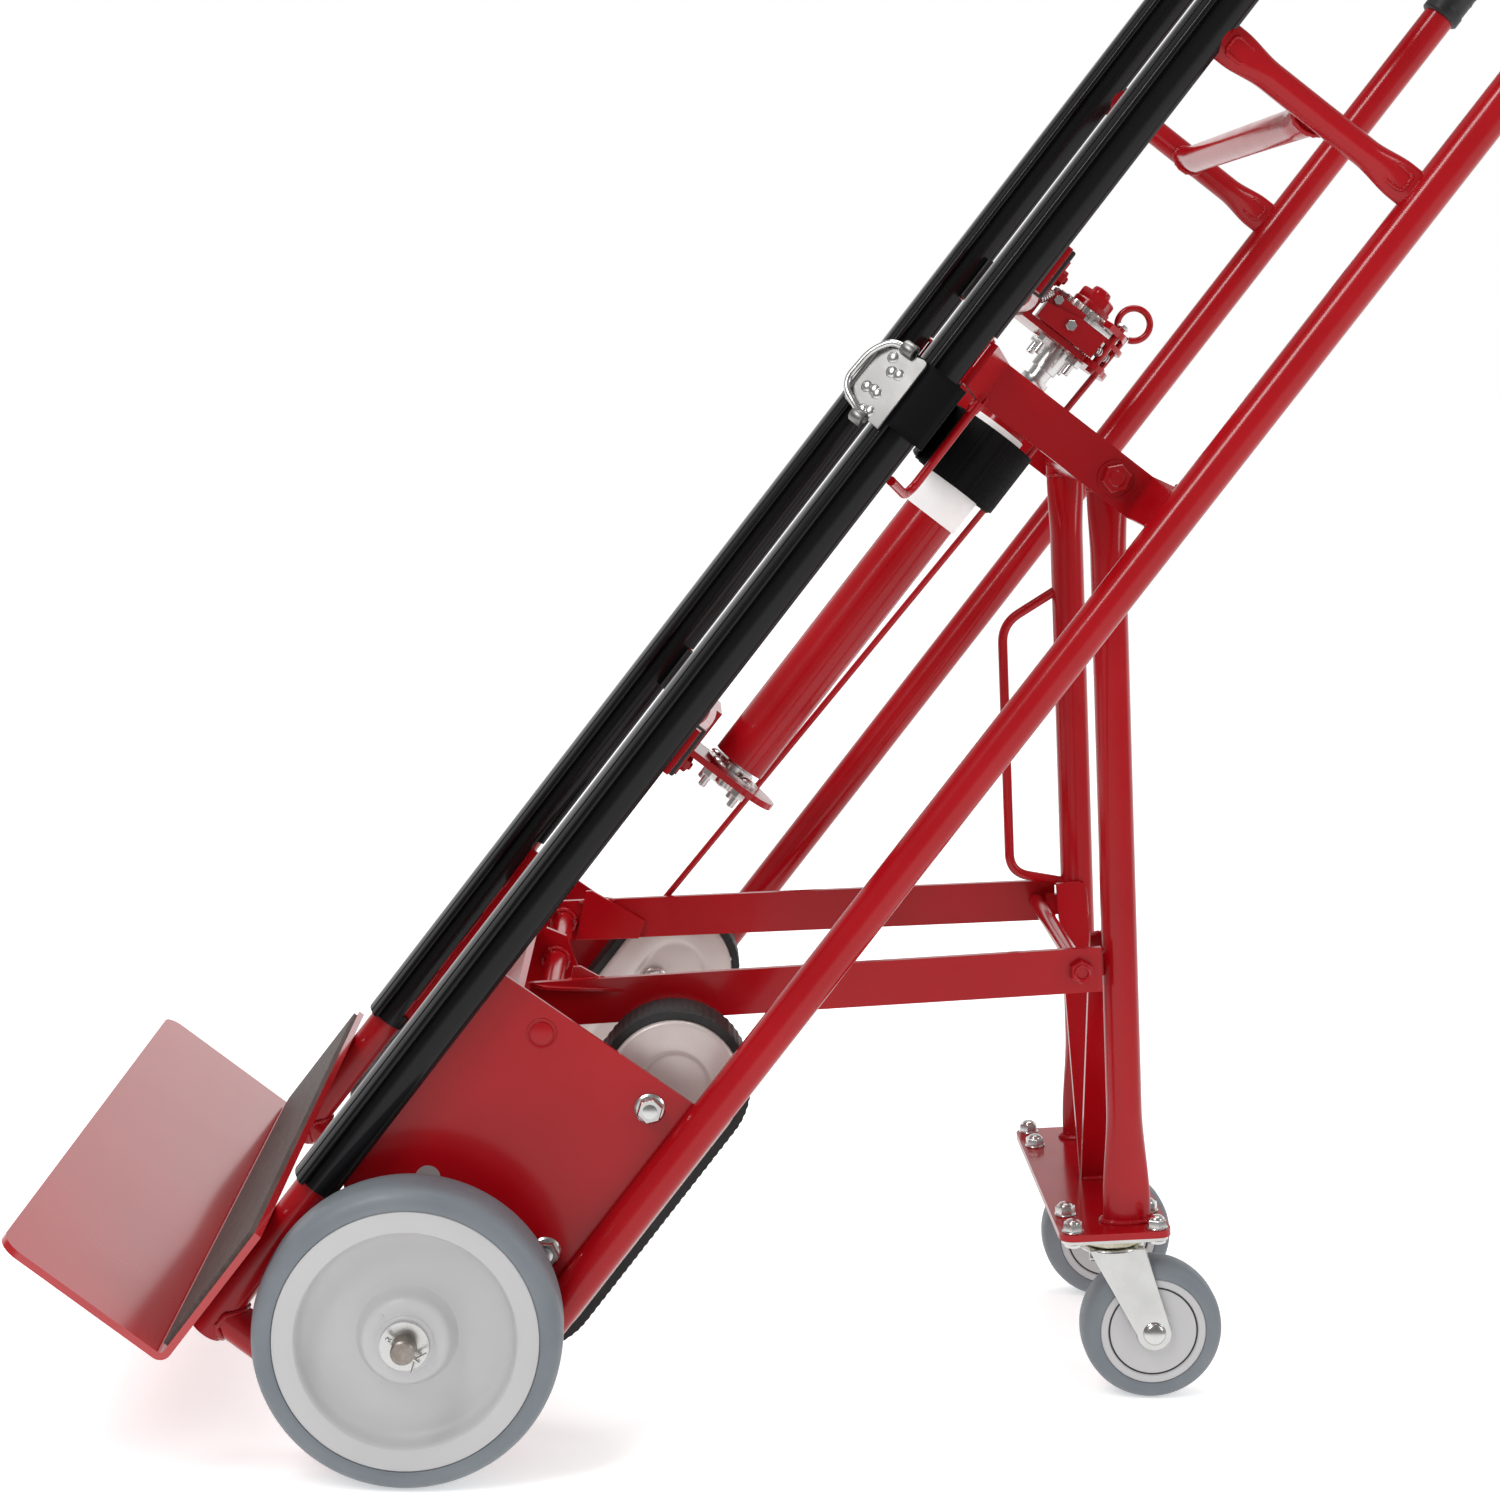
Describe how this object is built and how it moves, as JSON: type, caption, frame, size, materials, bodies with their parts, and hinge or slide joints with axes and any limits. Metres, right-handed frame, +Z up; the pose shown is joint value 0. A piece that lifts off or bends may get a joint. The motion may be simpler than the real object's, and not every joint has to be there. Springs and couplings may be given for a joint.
{
  "type": "hand truck",
  "caption": "Steel appliance hand truck parked on main wheels and folding caster legs, with rail guards, toe plate, strap roller and stair climbers.",
  "frame": {"origin": "on the floor below the middle of the truck's box, as it stands on its main wheels and casters", "axes": "+Z up, +X to the rear (casters and handles), +Y to the right-hand side of a person behind the truck"},
  "size_m": [1.1372, 0.6, 1.2717],
  "materials": {
    "red_paint": "gloss enamel",
    "black_vinyl": "satin, lightly ribbed",
    "zinc": "bright zinc plate",
    "stamped_steel": "plain stamped sheet",
    "belt_rubber": "matt",
    "pad_rubber": "matt",
    "webbing": "woven strap",
    "chrome": "bright plate",
    "white_plastic": "satin",
    "grey_rubber": "satin non-marking tread",
    "grey_hub": "satin moulded"
  },
  "bodies": {
    "frame": {"toe_plate": "red_paint", "front_rail_left": "red_paint", "front_rail_right": "red_paint", "rear_rail_left": "red_paint", "rear_rail_right": "red_paint", "handle_bend_left": "red_paint", "handle_bend_right": "red_paint", "foot_bends": "red_paint", "crossbars": "red_paint", "latch_bar": "red_paint", "upper_links": "red_paint", "side_plate_left": "red_paint", "side_plate_right": "red_paint", "leg_bracket_left": "red_paint", "leg_bracket_right": "red_paint", "leg_pivot_bolts": "red_paint", "strap_guide": "red_paint", "lower_bracket": "red_paint", "head_bracket": "red_paint", "toe_pad": "pad_rubber", "grip_left": "black_vinyl", "grip_right": "black_vinyl", "rail_guard_left": "black_vinyl", "rail_guard_right": "black_vinyl", "axle": "zinc", "axle_washers": "zinc", "climber_bolts": "zinc", "roller_bearings": "zinc", "climber_shells": "stamped_steel", "climber_belts": "belt_rubber", "strap": "webbing", "strap_hook": "chrome"},
    "pawl": {"pawl": "red_paint"},
    "strap_roller": {"strap_tube": "red_paint", "strap_sleeve": "white_plastic", "strap_roll": "webbing", "roller_shaft": "zinc", "ratchet_gear": "zinc"},
    "release_rod": {"release_rod": "red_paint"},
    "legs": {"leg_pivot_tube": "red_paint", "leg_left": "red_paint", "leg_right": "red_paint", "leg_v_brace": "red_paint", "leg_cross_rod": "red_paint", "caster_plate": "red_paint", "lift_handle": "red_paint", "caster_bases": "zinc", "caster_nuts": "zinc"},
    "brace": {"brace_bar_left": "red_paint", "brace_bar_right": "red_paint", "brace_rod": "red_paint", "latch_hook": "red_paint"},
    "caster_left": {"caster_fork_left": "zinc"},
    "caster_right": {"caster_fork_right": "zinc"},
    "caster_wheel_left": {"caster_wheel_left": "grey_rubber"},
    "caster_wheel_right": {"caster_wheel_right": "grey_rubber"},
    "wheel_left": {"wheel_tyre_left": "grey_rubber", "wheel_hub_left": "grey_hub"},
    "wheel_right": {"wheel_tyre_right": "grey_rubber", "wheel_hub_right": "grey_hub"}
  },
  "joints": [
    {"name": "leg_fold", "type": "hinge", "parent": "frame", "child": "legs", "pos_m": [0.15941, 0, 0.66395], "axis": [0, 1, 0], "range_deg": [0, 33]},
    {"name": "brace_fold", "type": "hinge", "parent": "legs", "child": "brace", "pos_m": [0.15083, 0, 0.31421], "axis": [0, 1, 0], "range_deg": [-67, 0]},
    {"name": "caster_swivel_left", "type": "hinge", "parent": "legs", "child": "caster_left", "pos_m": [0.18193, -0.1, 0.11929], "axis": [-0.0633, 0, 0.998], "continuous": true},
    {"name": "caster_roll_left", "type": "hinge", "parent": "caster_left", "child": "caster_wheel_left", "pos_m": [0.21272, -0.1, 0.0508], "axis": [0, 1, 0], "continuous": true},
    {"name": "caster_swivel_right", "type": "hinge", "parent": "legs", "child": "caster_right", "pos_m": [0.18193, 0.1, 0.11929], "axis": [-0.0633, 0, 0.998], "continuous": true},
    {"name": "caster_roll_right", "type": "hinge", "parent": "caster_right", "child": "caster_wheel_right", "pos_m": [0.21272, 0.1, 0.0508], "axis": [0, 1, 0], "continuous": true},
    {"name": "wheel_roll_left", "type": "hinge", "parent": "frame", "child": "wheel_left", "pos_m": [-0.30596, -0.259, 0.1016], "axis": [0, 1, 0], "continuous": true},
    {"name": "wheel_roll_right", "type": "hinge", "parent": "frame", "child": "wheel_right", "pos_m": [-0.30596, 0.259, 0.1016], "axis": [0, 1, 0], "continuous": true},
    {"name": "strap_wind", "type": "hinge", "parent": "frame", "child": "strap_roller", "pos_m": [0.01918, 0, 0.58949], "axis": [0.5916, 0, 0.8062], "continuous": true},
    {"name": "pawl_lift", "type": "hinge", "parent": "frame", "child": "pawl", "pos_m": [0.17608, -0.028, 0.76273], "axis": [0.5916, 0, 0.8062], "range_deg": [-15, 0], "stiffness_Nm_per_rad": 0.05, "springref_deg": 11.46},
    {"name": "release_pull", "type": "slide", "parent": "frame", "child": "release_rod", "axis": [0.5916, 0, 0.8062], "range_m": [0, 0.015]}
  ],
  "couplings": [
    {"joint": "brace_fold", "follows": "leg_fold", "ratio": -2}
  ]
}
